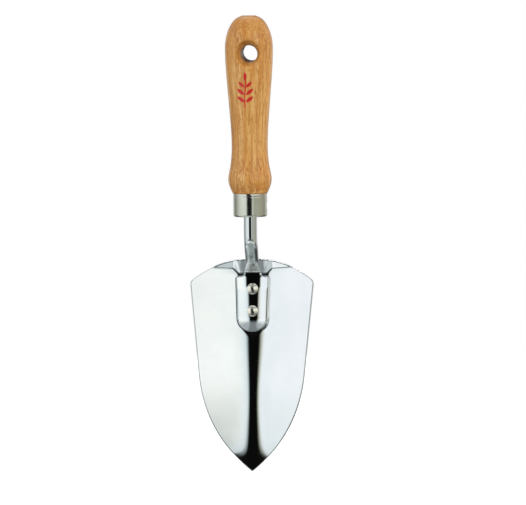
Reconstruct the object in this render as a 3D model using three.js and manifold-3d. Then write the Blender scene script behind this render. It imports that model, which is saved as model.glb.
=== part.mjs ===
// A hand trowel: a pressed, chrome-plated steel blade riveted to a cranked steel shank, whose tang is
// driven into a turned hardwood handle behind a staked ferrule.
//
// Millimetres, +Z up. The origin is the middle of the small flat on the handle's butt and the handle's
// axis is Z, so the tool hangs down from the origin. The blade's hollow face looks towards -Y.

import * as THREE from "three";
import { mergeVertices } from "three/addons/utils/BufferGeometryUtils.js";
import Module from "manifold-3d";

const wasm = await Module();
wasm.setup();

// ---------------------------------------------------------------- driving dimensions

const OVERALL_LENGTH = 305; // butt to point
const BLADE_WIDTH = 82.4; // across the shoulders
const FERRULE_TOP = -118.8; // where the wood's shoulder sits on the ferrule's rim
const FERRULE_LENGTH = 15.5;
const FERRULE_RADIUS = 11.35;
const FERRULE_WALL = 0.8;
const SHANK_RADIUS = 4.4;
const SHEET = 1.4; // thickness of the blade's steel
const PADDLE_THICKNESS = 2.6;

const GAP = 0.3; // between pieces that rest on each other across a curved face
const FIT = 0.15; // between a turned piece and the hole that holds it
const ROUND = 36; // sides of every turned piece

const CUTTER_SPAN = [-40, 60]; // in Y, past both faces of anything cut with an outline

const Z_TIP = -OVERALL_LENGTH;
const FERRULE_BOTTOM = FERRULE_TOP - FERRULE_LENGTH;

// ---------------------------------------------------------------- small helpers

const V2 = (x, y) => new THREE.Vector2(x, y);

// A closed geometry as a manifold-3d solid.
function solid(geometry) {
  const bare = geometry.clone();
  for (const name of ["normal", "uv"]) bare.deleteAttribute(name);
  const merged = mergeVertices(bare, 1e-4);
  const vertProperties = new Float32Array(merged.attributes.position.array);
  const triVerts = new Uint32Array(merged.index.array);
  return new wasm.Manifold(new wasm.Mesh({ numProp: 3, vertProperties, triVerts }));
}

// A manifold-3d solid as a flat-shaded geometry.
function geometryOf(body) {
  const { vertProperties, triVerts } = body.getMesh();
  const indexed = new THREE.BufferGeometry();
  indexed.setAttribute("position", new THREE.BufferAttribute(vertProperties, 3));
  indexed.setIndex(new THREE.BufferAttribute(triVerts, 1));
  const flat = indexed.toNonIndexed();
  flat.computeVertexNormals();
  return flat;
}

// Turns a profile of (radius, height) points about the Z axis.
function turned(profile, sides = ROUND) {
  return new THREE.LatheGeometry(profile, sides).rotateX(Math.PI / 2);
}

// A cylinder or cone about Z, centred on the origin.
function roundBar(topRadius, bottomRadius, length, sides = ROUND) {
  return new THREE.CylinderGeometry(topRadius, bottomRadius, length, sides).rotateX(Math.PI / 2);
}

// A flat outline drawn in X (across) and Z (up), extruded along Y over the given span.
function plate(outline, yFrom, yTo, curveSegments) {
  const options = { depth: yTo - yFrom, bevelEnabled: false, curveSegments };
  return new THREE.ExtrudeGeometry(outline, options).rotateX(Math.PI / 2).translate(0, yTo, 0);
}

// Closes two grids of points, a front and a back of the same size, into one slab.
function slab(front, back) {
  const rows = front.length;
  const columns = front[0].length;
  const layer = rows * columns;
  const positions = [...front.flat(), ...back.flat()].flatMap((p) => [p.x, p.y, p.z]);
  const index = [];
  const quad = (a, b, c, d) => index.push(a, b, c, a, c, d);
  const at = (row, column, side) => side * layer + row * columns + column;
  for (let r = 0; r < rows - 1; r++)
    for (let c = 0; c < columns - 1; c++) {
      quad(at(r, c, 0), at(r, c + 1, 0), at(r + 1, c + 1, 0), at(r + 1, c, 0));
      quad(at(r, c, 1), at(r + 1, c, 1), at(r + 1, c + 1, 1), at(r, c + 1, 1));
    }
  for (let r = 0; r < rows - 1; r++) {
    quad(at(r, 0, 0), at(r + 1, 0, 0), at(r + 1, 0, 1), at(r, 0, 1));
    const last = columns - 1;
    quad(at(r, last, 0), at(r, last, 1), at(r + 1, last, 1), at(r + 1, last, 0));
  }
  for (let c = 0; c < columns - 1; c++) {
    quad(at(0, c, 0), at(0, c, 1), at(0, c + 1, 1), at(0, c + 1, 0));
    const last = rows - 1;
    quad(at(last, c, 0), at(last, c + 1, 0), at(last, c + 1, 1), at(last, c, 1));
  }
  const geometry = new THREE.BufferGeometry();
  geometry.setAttribute("position", new THREE.Float32BufferAttribute(positions, 3));
  geometry.setIndex(index);
  return geometry;
}

// Joins rings of points, all of one length, into a closed skin with a flat cap on each end.
function loft(rings) {
  const sides = rings[0].length;
  const positions = rings.flat().flatMap((p) => [p.x, p.y, p.z]);
  const index = [];
  for (let r = 0; r < rings.length - 1; r++)
    for (let s = 0; s < sides; s++) {
      const next = (s + 1) % sides;
      const [a, b] = [r * sides + s, r * sides + next];
      index.push(a, b, a + sides, b, b + sides, a + sides);
    }
  const end = (rings.length - 1) * sides;
  for (let s = 1; s < sides - 1; s++) {
    index.push(0, s + 1, s);
    index.push(end, end + s, end + s + 1);
  }
  const geometry = new THREE.BufferGeometry();
  geometry.setAttribute("position", new THREE.Float32BufferAttribute(positions, 3));
  geometry.setIndex(index);
  return geometry;
}

// Evenly spaced numbers from one value to another, both included.
const steps = (from, to, count) =>
  Array.from({ length: count + 1 }, (_, i) => from + ((to - from) * i) / count);

const { lerp, degToRad, smoothstep } = THREE.MathUtils;

// ---------------------------------------------------------------- the blade's pressed surface

const SEAT_Z = -183.9; // the upper rivet's height
const SEAT_Y = 17.4; // depth of the valley's line behind the handle's axis there
const TIP_Y = -2; // the point comes back to just in front of the handle's axis
const LEAN = Math.atan((SEAT_Y - TIP_Y) / (SEAT_Z - Z_TIP)); // the blade leans this far forward

const WING_SLOPE = degToRad(16); // how steeply each wing rises from the valley
const VALLEY_RADIUS = 36; // across the valley, near the rivets
const WAIST_RADIUS = 21; // across the valley where it is tightest
const WAIST_HEIGHT = 47; // how far the tightest part is above the point
const WAIST_SPREAD = 34; // how gradually the valley opens again above and below it
const FLAT_POINT = 15.4; // the section runs out flat over about this length above the point

const SEAT_RISE = 1.63; // the shank's seat is pressed flat, this far in front of the valley's line
const SEAT_FULL = 101; // how far above the point the seat has its full height
const SEAT_FADE = 83; // and how far above the point it has run down into the valley
const SEAT_EDGE = 8; // how crisply the wings rise from the seat

const THROAT_Z = -175.1; // the heel's lip starts here, straight above the rivets' paddle
const THROAT_HALF = 10; // half the lip's width at the throat
const FLARE_RISE = 4.2; // how far the crease climbs beside the throat before it runs out to the edge
const FLARE_TURN = 2; // how gently it turns there
const FLARE_SLOPE = 0.12; // its slope on the way out
const LIP_RISE = 0.67; // how far the lip comes forward for each millimetre above its crease
const LIP_ROUND = 3; // length over which the crease turns

// Depth of the valley's floor at a height.
const valley = (z) => TIP_Y + (z - Z_TIP) * Math.tan(LEAN);

// How far the hollow section stands forward of the valley: a hyperbola, round at the valley's floor and
// straightening into the wings, and flat at the point and across the shank's seat.
function section(x, z) {
  const up = z - Z_TIP;
  const runOut = 1 - Math.exp(-((up / FLAT_POINT) ** 2));
  const tight = Math.exp(-(((up - WAIST_HEIGHT) / WAIST_SPREAD) ** 2));
  const slope = Math.tan(WING_SLOPE) * runOut;
  const radius = lerp(VALLEY_RADIUS, WAIST_RADIUS, tight) / Math.max(runOut, 0.05);
  const floor = radius * slope ** 2;
  const hollow = Math.hypot(floor, x * slope) - floor;
  const seat = SEAT_RISE * smoothstep(up, SEAT_FADE, SEAT_FULL);
  return (hollow ** SEAT_EDGE + seat ** SEAT_EDGE) ** (1 / SEAT_EDGE);
}

// Height of the crease under the lip: level across the throat, then climbing to run out at the edge.
function crease(x) {
  const out = Math.max(0, Math.abs(x) - THROAT_HALF);
  return THROAT_Z + FLARE_RISE * (1 - Math.exp(-out / FLARE_TURN)) + FLARE_SLOPE * out;
}

// How far the lip at the heel comes forward, to bear on the back of the shank.
function lip(x, z) {
  const above = z - crease(x);
  if (above <= 0) return 0;
  if (above < LIP_ROUND) return (LIP_RISE * above ** 2) / (2 * LIP_ROUND);
  return LIP_RISE * (above - LIP_ROUND / 2);
}

const bladeFace = (x, z) => valley(z) - section(x, z) - lip(x, z);
const seatFace = (x, z) => valley(z) - SEAT_RISE;

// A point lifted off a face along its normal; a positive distance goes towards the back.
function offset(face, x, z, distance) {
  const e = 0.01;
  const dx = (face(x + e, z) - face(x - e, z)) / (2 * e);
  const dz = (face(x, z + e) - face(x, z - e)) / (2 * e);
  const normal = new THREE.Vector3(-dx, 1, -dz).normalize();
  return new THREE.Vector3(x, face(x, z), z).addScaledVector(normal, distance);
}

// A sheet that follows a face between two distances from it. Each row gives its height at any x.
function sheet(face, near, far, xs, rows) {
  const side = (distance) => rows.map((row) => xs.map((x) => offset(face, x, row(x), distance)));
  return slab(side(near), side(far));
}

const level = (z) => () => z;

// ---------------------------------------------------------------- outlines

const TAPER = degToRad(5.6); // each edge of the blade leans in towards the point
const OGIVE_RADIUS = 93; // of the edges down to the point
const HEEL_RADIUS = 66;
const HEEL_Z = -163.5; // top of the heel's arc
const SHOULDER_Z = -181.5; // where the straight edges start
const SHOULDER_ROUND = 4;
const POINT_HALF = 1.4; // half the width over which the point is rounded
const POINT_CUT = 0.9; // how much of the sharp point the rounding takes off

// Height where the straight edge meets the ogive, so that the ogive runs through the sharp point.
function ogiveTop(edgeCentre) {
  const sharpPoint = V2(0, Z_TIP - POINT_CUT);
  let [low, high] = [Z_TIP, SHOULDER_Z];
  for (let i = 0; i < 40; i++) {
    const middle = (low + high) / 2;
    if (edgeCentre(middle).distanceTo(sharpPoint) > OGIVE_RADIUS) high = middle;
    else low = middle;
  }
  return low;
}

// The blade seen from the front: heel arc, round shoulders, straight tapering edges and an ogive.
function bladeOutline() {
  const half = BLADE_WIDTH / 2;
  const edgeCentre = (z) =>
    V2(
      half - (SHOULDER_Z - z) * Math.tan(TAPER) - OGIVE_RADIUS * Math.cos(TAPER),
      z + OGIVE_RADIUS * Math.sin(TAPER),
    );
  const centre = edgeCentre(ogiveTop(edgeCentre));
  const pointAngle = Math.acos((POINT_HALF - centre.x) / OGIVE_RADIUS);
  const heelCentre = HEEL_Z - HEEL_RADIUS;
  const heelHalf = half - SHOULDER_ROUND * 0.75;
  const heelAngle = Math.asin(heelHalf / HEEL_RADIUS);
  const heelEnd = heelCentre + HEEL_RADIUS * Math.cos(heelAngle);

  const right = new THREE.Path();
  right.moveTo(0, Z_TIP);
  right.lineTo(POINT_HALF, centre.y - OGIVE_RADIUS * Math.sin(pointAngle));
  right.absarc(centre.x, centre.y, OGIVE_RADIUS, -pointAngle, -TAPER, false);
  right.lineTo(half, SHOULDER_Z);
  right.quadraticCurveTo(half + 0.3, heelEnd - 1.5, heelHalf, heelEnd);
  right.absarc(0, heelCentre, HEEL_RADIUS, Math.PI / 2 - heelAngle, Math.PI / 2, false);
  const edge = right.getPoints(14);
  const mirrored = edge.slice(1).map((p) => V2(-p.x, p.y));
  return new THREE.Shape([...edge, ...mirrored.reverse()]);
}

const PADDLE_TOP = -174.8;
const PADDLE_BOTTOM = -212.2;
const PADDLE_HALF = 11.1; // half its width at the shoulders
const PADDLE_END = 10.3; // half its width where its round end starts
const PADDLE_CORNER = 1.6;

// The shank's flattened end: square shoulders, slightly tapering sides and a round end.
function paddleOutline() {
  const shape = new THREE.Shape();
  const endZ = PADDLE_BOTTOM + PADDLE_END;
  shape.absarc(0, endZ, PADDLE_END, Math.PI, 2 * Math.PI, false);
  shape.lineTo(PADDLE_HALF, PADDLE_TOP - PADDLE_CORNER);
  shape.quadraticCurveTo(PADDLE_HALF, PADDLE_TOP, PADDLE_HALF - PADDLE_CORNER, PADDLE_TOP);
  shape.lineTo(PADDLE_CORNER - PADDLE_HALF, PADDLE_TOP);
  shape.quadraticCurveTo(-PADDLE_HALF, PADDLE_TOP, -PADDLE_HALF, PADDLE_TOP - PADDLE_CORNER);
  return shape;
}

// ---------------------------------------------------------------- rivets

const RIVET_SPACING = 15;
const RIVET_RADIUS = 2.4;
const RIVET_HOLE = RIVET_RADIUS + 0.2;
const HEAD_RADIUS = 3.75;
const HEAD_HEIGHT = 1.6;
const TAIL_RADIUS = 3.5;
const TAIL_HEIGHT = 1.1;
const HEAD_SEAT = PADDLE_THICKNESS + 2 * GAP;
const TAIL_SEAT = SHEET + FIT;

// A rivet in its own frame: +Z points out of its domed head, and z = 0 is the blade's front face.
function rivetSolid() {
  const domeRadius = (HEAD_RADIUS ** 2 + HEAD_HEIGHT ** 2) / (2 * HEAD_HEIGHT);
  const domeAngle = Math.asin(HEAD_RADIUS / domeRadius);
  const dome = steps(domeAngle, 0, 5).map((a) =>
    V2(domeRadius * Math.sin(a), HEAD_SEAT + HEAD_HEIGHT - domeRadius * (1 - Math.cos(a))),
  );
  return turned(
    [
      V2(0, -TAIL_SEAT - TAIL_HEIGHT),
      V2(TAIL_RADIUS - 0.6, -TAIL_SEAT - TAIL_HEIGHT),
      V2(TAIL_RADIUS, -TAIL_SEAT - TAIL_HEIGHT + 0.5),
      V2(TAIL_RADIUS, -TAIL_SEAT),
      V2(RIVET_RADIUS, -TAIL_SEAT),
      V2(RIVET_RADIUS, HEAD_SEAT),
      ...dome,
    ],
    24,
  );
}

// The frame that the rivets share: its origin is on the blade's face at the upper rivet, +Z points out
// of the hollow face and +Y runs up the valley.
function placeOnSeat(group) {
  group.position.set(0, SEAT_Y - SEAT_RISE, SEAT_Z);
  group.rotation.x = Math.PI / 2 - LEAN;
  return group;
}

// Both rivet holes as one cutter, in the part's frame.
function rivetHoles() {
  const frame = placeOnSeat(new THREE.Group());
  frame.updateMatrixWorld(true);
  const holes = [0, -RIVET_SPACING].map((y) =>
    solid(roundBar(RIVET_HOLE, RIVET_HOLE, 20, 24).translate(0, y, 0).applyMatrix4(frame.matrixWorld)),
  );
  return holes[0].add(holes[1]);
}

// ---------------------------------------------------------------- blade

function bladeGeometry() {
  const margin = 1;
  const xs = steps(-1, 1, 22).map((u) => (BLADE_WIDTH / 2 + margin) * Math.sign(u) * Math.abs(u) ** 1.15);
  const rows = steps(Z_TIP - margin, SHOULDER_Z, 18).map(level);
  const lipTop = HEEL_Z + margin - THROAT_Z;
  for (const above of [-2, 0, 1, 2, LIP_ROUND, lipTop]) rows.push((x) => crease(x) + above);
  const pressed = solid(sheet(bladeFace, 0, SHEET, xs, rows));
  const blank = solid(plate(bladeOutline(), ...CUTTER_SPAN, 12));
  return geometryOf(pressed.intersect(blank).subtract(rivetHoles()));
}

// ---------------------------------------------------------------- shank

const BEND_RADIUS = 16; // of the crank below the ferrule
const CRANK = degToRad(42); // slope of the shank between its two bends
const FOOT_RADIUS = 6; // of the bend into the paddle
const FOOT_RUN = 5; // how far the round runs on inside the paddle
const FLATTEN_FROM = -158; // the round neck starts to flatten here
const FOOT_HALF = 5.1; // half its width where it meets the paddle
const EAR_TOP = -92; // the tang's swaged ears, which stop the handle turning
const EAR_BOTTOM = -100;
const EAR_HALF = 4.4;
const EAR_THICKNESS = 1.6;

// The tang's taper inside the handle, as (radius, height), from its tip to the full round of the neck.
const TANG = [V2(1.2, -62), V2(2.2, -65), V2(3.1, EAR_TOP), V2(3.4, -104), V2(SHANK_RADIUS, -112.8)];

// The shank's centreline below the ferrule, in (Y, Z): straight, back through the crank, and down into
// the middle of the paddle.
function shankPath() {
  const footZ = PADDLE_TOP - 1;
  const footY = seatFace(0, footZ) - (GAP + PADDLE_THICKNESS / 2) / Math.cos(LEAN);
  const bendY = BEND_RADIUS * (1 - Math.cos(CRANK));
  const turnY = FOOT_RADIUS * (Math.cos(LEAN) - Math.cos(CRANK));
  const run = (footY - bendY - turnY) / Math.sin(CRANK);
  const bendDrop = BEND_RADIUS * Math.sin(CRANK);
  const turnDrop = FOOT_RADIUS * (Math.sin(CRANK) + Math.sin(LEAN));
  const startZ = footZ + bendDrop + run * Math.cos(CRANK) + turnDrop;
  const path = new THREE.CurvePath();
  const line = (from, to) => path.add(new THREE.LineCurve(from, to));
  const arc = (x, y, r, from, to, clockwise) =>
    path.add(new THREE.EllipseCurve(x, y, r, r, from, to, clockwise, 0));
  const along = (angle, distance) => V2(Math.sin(angle), -Math.cos(angle)).multiplyScalar(distance);
  line(V2(0, FERRULE_TOP), V2(0, startZ));
  arc(BEND_RADIUS, startZ, BEND_RADIUS, Math.PI, Math.PI + CRANK, false);
  const slopeStart = V2(bendY, startZ - bendDrop);
  const slopeEnd = along(CRANK, run).add(slopeStart);
  line(slopeStart, slopeEnd);
  const footCentre = along(CRANK - Math.PI / 2, FOOT_RADIUS).add(slopeEnd);
  arc(footCentre.x, footCentre.y, FOOT_RADIUS, CRANK, -LEAN, true);
  const foot = V2(footY, footZ);
  line(foot, along(-LEAN, FOOT_RUN).add(foot));
  return path;
}

// An oval ring across a centreline that lies in the YZ plane.
function ring(centre, tangent, halfWidth, halfThickness, sides) {
  const outward = V2(-tangent.y, tangent.x);
  return steps(0, 2 * Math.PI, sides)
    .slice(0, -1)
    .map((a) => {
      const across = halfWidth * Math.sin(a);
      const off = halfThickness * Math.cos(a);
      return new THREE.Vector3(across, centre.x + outward.x * off, centre.y + outward.y * off);
    });
}

// The tang and the neck in one, round down to the crank and flattening towards the paddle.
function rod() {
  const sides = 20;
  const tang = TANG.map((p) => ring(V2(0, p.y), V2(0, -1), p.x, p.x, sides));
  const path = shankPath();
  const neck = steps(0, 1, 24).map((u) => {
    const centre = path.getPointAt(u);
    const flattened = smoothstep(-centre.y, -FLATTEN_FROM, -PADDLE_TOP);
    const halfWidth = lerp(SHANK_RADIUS, FOOT_HALF, flattened);
    const halfThickness = lerp(SHANK_RADIUS, PADDLE_THICKNESS / 2 - 0.05, flattened);
    return ring(centre, path.getTangentAt(u), halfWidth, halfThickness, sides);
  });
  return solid(loft([...tang, ...neck]));
}

function ears() {
  const bar = new THREE.BoxGeometry(2 * EAR_HALF, EAR_THICKNESS, EAR_TOP - EAR_BOTTOM);
  return solid(bar.translate(0, 0, (EAR_TOP + EAR_BOTTOM) / 2));
}

// The paddle lies flat on its seat.
function paddle() {
  const xs = [-PADDLE_HALF - 1, PADDLE_HALF + 1];
  const rows = [PADDLE_BOTTOM - 1, PADDLE_TOP + 1].map(level);
  const flat = solid(sheet(seatFace, -GAP - PADDLE_THICKNESS, -GAP, xs, rows));
  return flat.intersect(solid(plate(paddleOutline(), ...CUTTER_SPAN, 10)));
}

function shankGeometry() {
  return geometryOf(rod().add(ears()).add(paddle()).subtract(rivetHoles()));
}

// ---------------------------------------------------------------- ferrule

const FERRULE_CORNER = 1.4;
const DIMPLE_Z = FERRULE_TOP - 8.6; // middle of the punched dimple that stakes the ferrule
const DIMPLE_BALL = 4.5; // radius of the punch's nose
const DIMPLE_DEPTH = 1.0;

// A ball sunk into the ferrule's side at the dimple; grow widens it for the pieces behind.
function dimpleBall(grow) {
  const ball = new THREE.SphereGeometry(DIMPLE_BALL + grow, 20, 14);
  return solid(ball.translate(FERRULE_RADIUS + DIMPLE_BALL - DIMPLE_DEPTH, 0, DIMPLE_Z));
}

function ferruleGeometry() {
  const inner = FERRULE_RADIUS - FERRULE_WALL;
  const hole = SHANK_RADIUS + FIT;
  const corner = steps(0, Math.PI / 2, 5).map((a) =>
    V2(
      FERRULE_RADIUS - FERRULE_CORNER * (1 - Math.cos(a)),
      FERRULE_BOTTOM + FERRULE_CORNER * (1 - Math.sin(a)),
    ),
  );
  const floor = FERRULE_BOTTOM + 1;
  const profile = [
    V2(hole, floor),
    V2(hole, FERRULE_BOTTOM),
    ...corner.reverse(),
    V2(FERRULE_RADIUS, FERRULE_TOP - 0.4),
    V2(FERRULE_RADIUS - 0.3, FERRULE_TOP),
    V2(inner, FERRULE_TOP),
    V2(inner, floor + 0.8),
    V2(inner - 0.8, floor),
    V2(hole, floor),
  ];
  const cup = solid(turned(profile));
  const inside = solid(roundBar(inner + 0.1, inner + 0.1, 14)).translate(0, 0, DIMPLE_Z);
  const pushedIn = dimpleBall(FERRULE_WALL).intersect(inside);
  return geometryOf(cup.add(pushedIn).subtract(dimpleBall(0)));
}

// ---------------------------------------------------------------- handle

const BUTT_FLAT = 4.4; // radius of the flat on the butt
const HOLE_Z = -25.2; // the hanging hole
const HOLE_RADIUS = 5.75;
const HOLE_ACROSS = 0.9; // the bore is drilled slightly to one side of its countersinks
const SINK_ANGLE = degToRad(25);
const SINK_RADIUS = 9.2; // of each countersink where it breaks the handle's crown

// The handle's turned outline, as (radius, height), from the butt to its shoulder on the ferrule.
function handleCurve() {
  return new THREE.SplineCurve([
    V2(BUTT_FLAT, 0), // edge of the butt's flat
    V2(8.1, -1.7),
    V2(11.1, -4.6),
    V2(13.9, -9.9), // domed end
    V2(15.6, -16.4),
    V2(16.0, -24.5), // palm swell
    V2(15.3, -39),
    V2(13.6, -60),
    V2(12.3, -78),
    V2(12.1, -90), // waist
    V2(13.0, -100),
    V2(14.3, -106.5),
    V2(14.5, -110), // bead above the ferrule
    V2(13.6, -114),
    V2(11.7, -118.4),
  ]);
}

// The countersunk hanging hole as one cutter, along Y.
function hangingHole() {
  const crown = 16;
  const reach = 4; // the cones run out past the surface
  const sinkDepth = (SINK_RADIUS - HOLE_RADIUS) / Math.tan(SINK_ANGLE);
  const wide = SINK_RADIUS + reach * Math.tan(SINK_ANGLE);
  const bore = solid(new THREE.CylinderGeometry(HOLE_RADIUS, HOLE_RADIUS, 60, ROUND));
  const middle = crown + reach - (sinkDepth + reach) / 2;
  const sink = (side) => {
    const [far, near] = side > 0 ? [wide, HOLE_RADIUS] : [HOLE_RADIUS, wide];
    const cone = new THREE.CylinderGeometry(far, near, sinkDepth + reach, ROUND);
    return solid(cone.translate(0, side * middle, 0));
  };
  return bore.translate(HOLE_ACROSS, 0, 0).add(sink(1)).add(sink(-1)).translate(0, 0, HOLE_Z);
}

// The bore for the tang, and the slots that its ears cut on the way in.
function tangBore() {
  const mouth = FERRULE_BOTTOM - 5;
  const taper = TANG.map((p) => V2(p.x + FIT, p.y + FIT)).reverse();
  const blindEnd = V2(0, TANG[0].y + FIT);
  const profile = [V2(0, mouth), V2(SHANK_RADIUS + FIT, mouth), ...taper, blindEnd];
  const slotLength = EAR_TOP + FIT - mouth;
  const slot = new THREE.BoxGeometry(2 * (EAR_HALF + FIT), EAR_THICKNESS + 2 * FIT, slotLength);
  slot.translate(0, 0, mouth + slotLength / 2);
  return solid(turned(profile)).add(solid(slot));
}

function handleGeometry() {
  const tenon = FERRULE_RADIUS - FERRULE_WALL - FIT;
  const tenonEnd = FERRULE_BOTTOM + 1 + FIT;
  const shoulder = FERRULE_TOP + 0.1;
  const grip = handleCurve().getPoints(26);
  const profile = [V2(0, 0), ...grip, V2(10.9, shoulder), V2(tenon, shoulder)];
  profile.push(V2(tenon, tenonEnd + 1), V2(tenon - 1, tenonEnd), V2(0, tenonEnd));
  const turning = solid(turned(profile.reverse()));
  const drilled = turning.subtract(hangingHole()).subtract(tangBore());
  return geometryOf(drilled.subtract(dimpleBall(FERRULE_WALL + FIT)));
}

// ---------------------------------------------------------------- materials and assembly

const material = (color, roughness, metalness) =>
  new THREE.MeshStandardMaterial({ color, roughness, metalness });
const lacqueredWood = material(0xc88f4c, 0.35, 0);
const satinNickel = material(0xb4b3a0, 0.32, 1);
const chrome = material(0xe3e8ea, 0.06, 1);
const brightNickel = material(0xe6dfc6, 0.15, 1);

function piece(name, geometry, finish) {
  const mesh = new THREE.Mesh(geometry, finish);
  mesh.name = name;
  return mesh;
}

const trowel = new THREE.Group();
trowel.name = "hand_trowel";
trowel.add(piece("handle", handleGeometry(), lacqueredWood));
trowel.add(piece("ferrule", ferruleGeometry(), satinNickel));
trowel.add(piece("shank", shankGeometry(), chrome));
trowel.add(piece("blade", bladeGeometry(), chrome));

const seat = placeOnSeat(new THREE.Group());
for (const [name, along] of [
  ["rivet_upper", 0],
  ["rivet_lower", -RIVET_SPACING],
]) {
  const rivet = piece(name, rivetSolid(), brightNickel);
  rivet.position.y = along;
  seat.add(rivet);
}
trowel.add(seat);

export default trowel;
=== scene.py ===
"""A hand trowel hanging in a pale light tent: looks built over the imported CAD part.

Shapes are worked out in millimetres and written in metres. Sizes come from the CAD nodes' boxes where a box
gives them; the rest are the trowel's own driving dimensions.
"""

import math

import bpy
import numpy as np
from mathutils import Matrix, Vector


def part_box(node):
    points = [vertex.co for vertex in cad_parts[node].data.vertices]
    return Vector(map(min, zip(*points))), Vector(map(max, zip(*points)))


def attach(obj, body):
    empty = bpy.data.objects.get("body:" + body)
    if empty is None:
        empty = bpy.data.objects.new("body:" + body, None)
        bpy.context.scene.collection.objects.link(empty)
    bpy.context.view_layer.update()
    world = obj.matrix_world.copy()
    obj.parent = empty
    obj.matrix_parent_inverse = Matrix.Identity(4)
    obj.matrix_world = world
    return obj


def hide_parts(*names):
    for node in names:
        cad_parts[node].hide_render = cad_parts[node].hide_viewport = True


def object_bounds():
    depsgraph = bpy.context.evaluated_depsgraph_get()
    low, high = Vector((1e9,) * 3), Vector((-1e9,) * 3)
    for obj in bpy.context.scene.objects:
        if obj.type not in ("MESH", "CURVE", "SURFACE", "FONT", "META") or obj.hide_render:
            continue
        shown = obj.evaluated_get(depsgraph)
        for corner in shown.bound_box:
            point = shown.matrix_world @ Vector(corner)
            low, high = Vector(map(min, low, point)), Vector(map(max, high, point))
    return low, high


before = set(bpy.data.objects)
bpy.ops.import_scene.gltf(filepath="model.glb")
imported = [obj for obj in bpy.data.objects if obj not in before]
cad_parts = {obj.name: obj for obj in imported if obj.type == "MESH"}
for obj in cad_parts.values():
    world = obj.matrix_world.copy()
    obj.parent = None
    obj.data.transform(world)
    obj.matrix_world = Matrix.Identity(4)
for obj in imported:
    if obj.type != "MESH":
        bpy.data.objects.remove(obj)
cad_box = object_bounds()

MM = 0.001


def box_mm(node):
    low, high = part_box(node)
    return np.array(low) / MM, np.array(high) / MM


BLADE_LOW, BLADE_HIGH = box_mm("blade")
SHANK_LOW, SHANK_HIGH = box_mm("shank")
FERRULE_LOW, FERRULE_HIGH = box_mm("ferrule")

# ------------------------------------------------------------------ driving dimensions, mm

Z_TIP = BLADE_LOW[2]
HEEL_Z = BLADE_HIGH[2]
BLADE_HALF = 41.2
SHEET = 1.4
EDGE_ROUND = 0.55
SEAT_Z = -183.9
SEAT_Y = 17.4
TIP_Y = -2.0
LEAN = math.atan((SEAT_Y - TIP_Y) / (SEAT_Z - Z_TIP))
WING_SLOPE = math.tan(math.radians(16))
VALLEY_RADIUS = 36.0
WAIST_RADIUS = 21.0
WAIST_HEIGHT = 47.0
WAIST_SPREAD = 34.0
FLAT_POINT = 10.0
SEAT_RISE = 1.2
SEAT_FULL = 101.0
SEAT_FADE = 88.0
SHOULDER_Z = -181.5
TAPER = math.radians(5.6)
OGIVE_RADIUS = 93.0
POINT_CUT = 0.35
HEEL_RADIUS = 66.0
SHOULDER_ROUND = 4.0
THROAT_Z = -175.1
THROAT_HALF = 10.0
GAP = 0.3
PADDLE_TOP = -174.8
PADDLE_BOTTOM = SHANK_LOW[2]
RIVET_SPACING = 15.0
SHANK_RADIUS = 4.4
FERRULE_TOP = FERRULE_HIGH[2]
FERRULE_BOTTOM = FERRULE_LOW[2]
FERRULE_RADIUS = FERRULE_HIGH[0]
FERRULE_WALL = 0.8
DIMPLE_Z = FERRULE_TOP - 8.6
HOLE_Z = -25.2
HOLE_RADIUS = 5.75
HOLE_ACROSS = 0.9
SINK_RADIUS = 9.2


def smooth(a, b, x):
    """0 below a, 1 above b, and an eased ramp between them."""
    t = np.clip((np.asarray(x, float) - a) / (b - a), 0, 1)
    return t * t * (3 - 2 * t)


# ------------------------------------------------------------------ the blade's pressed surface


def valley(z):
    return TIP_Y + (z - Z_TIP) * math.tan(LEAN)


def section(x, z):
    """How far the hollow stands forward of the valley: a hyperbola, flat at the point and across the seat."""
    up = z - Z_TIP
    run_out = 1 - np.exp(-((up / FLAT_POINT) ** 2))
    tight = np.exp(-(((up - WAIST_HEIGHT) / WAIST_SPREAD) ** 2))
    slope = WING_SLOPE * run_out
    radius = (VALLEY_RADIUS + (WAIST_RADIUS - VALLEY_RADIUS) * tight) / np.maximum(run_out, 0.05)
    floor = radius * slope**2
    hollow = np.hypot(floor, x * slope) - floor
    seat = SEAT_RISE * smooth(SEAT_FADE, SEAT_FULL, up)
    # The seat's sides are crisp beside the paddle and soften into the heel's lip.
    crisp = 4 + 10 * smooth(-THROAT_Z - 4, -THROAT_Z + 2, -z)
    return (hollow**crisp + seat**crisp) ** (1 / crisp)


def crease(x):
    """The height at which the heel starts to turn forward: lowest at the throat, behind the crank."""
    return THROAT_Z + 3.6 * smooth(THROAT_HALF - 2, THROAT_HALF + 3.5, np.abs(x)) + 0.006 * np.abs(x) ** 1.7


def lip(x, z):
    above = np.maximum(z - crease(x), 0)
    rounding = 1.9
    steep = 0.44 + 0.23 * smooth(THROAT_HALF - 3, THROAT_HALF + 3, np.abs(x))
    return np.where(above < rounding, steep * above**2 / (2 * rounding), steep * (above - rounding / 2))


def blade_face(x, z):
    return valley(z) - section(x, z) - lip(x, z)


def lifted(face, x, z, distance):
    """Points lifted off a face along its normal; a positive distance goes towards the back."""
    e = 0.01
    dx = (face(x + e, z) - face(x - e, z)) / (2 * e)
    dz = (face(x, z + e) - face(x, z - e)) / (2 * e)
    length = np.sqrt(dx * dx + dz * dz + 1)
    y = face(x, z)
    return np.stack([x - dx / length * distance, y + distance / length, z - dz / length * distance], -1)


# ------------------------------------------------------------------ meshes


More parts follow.
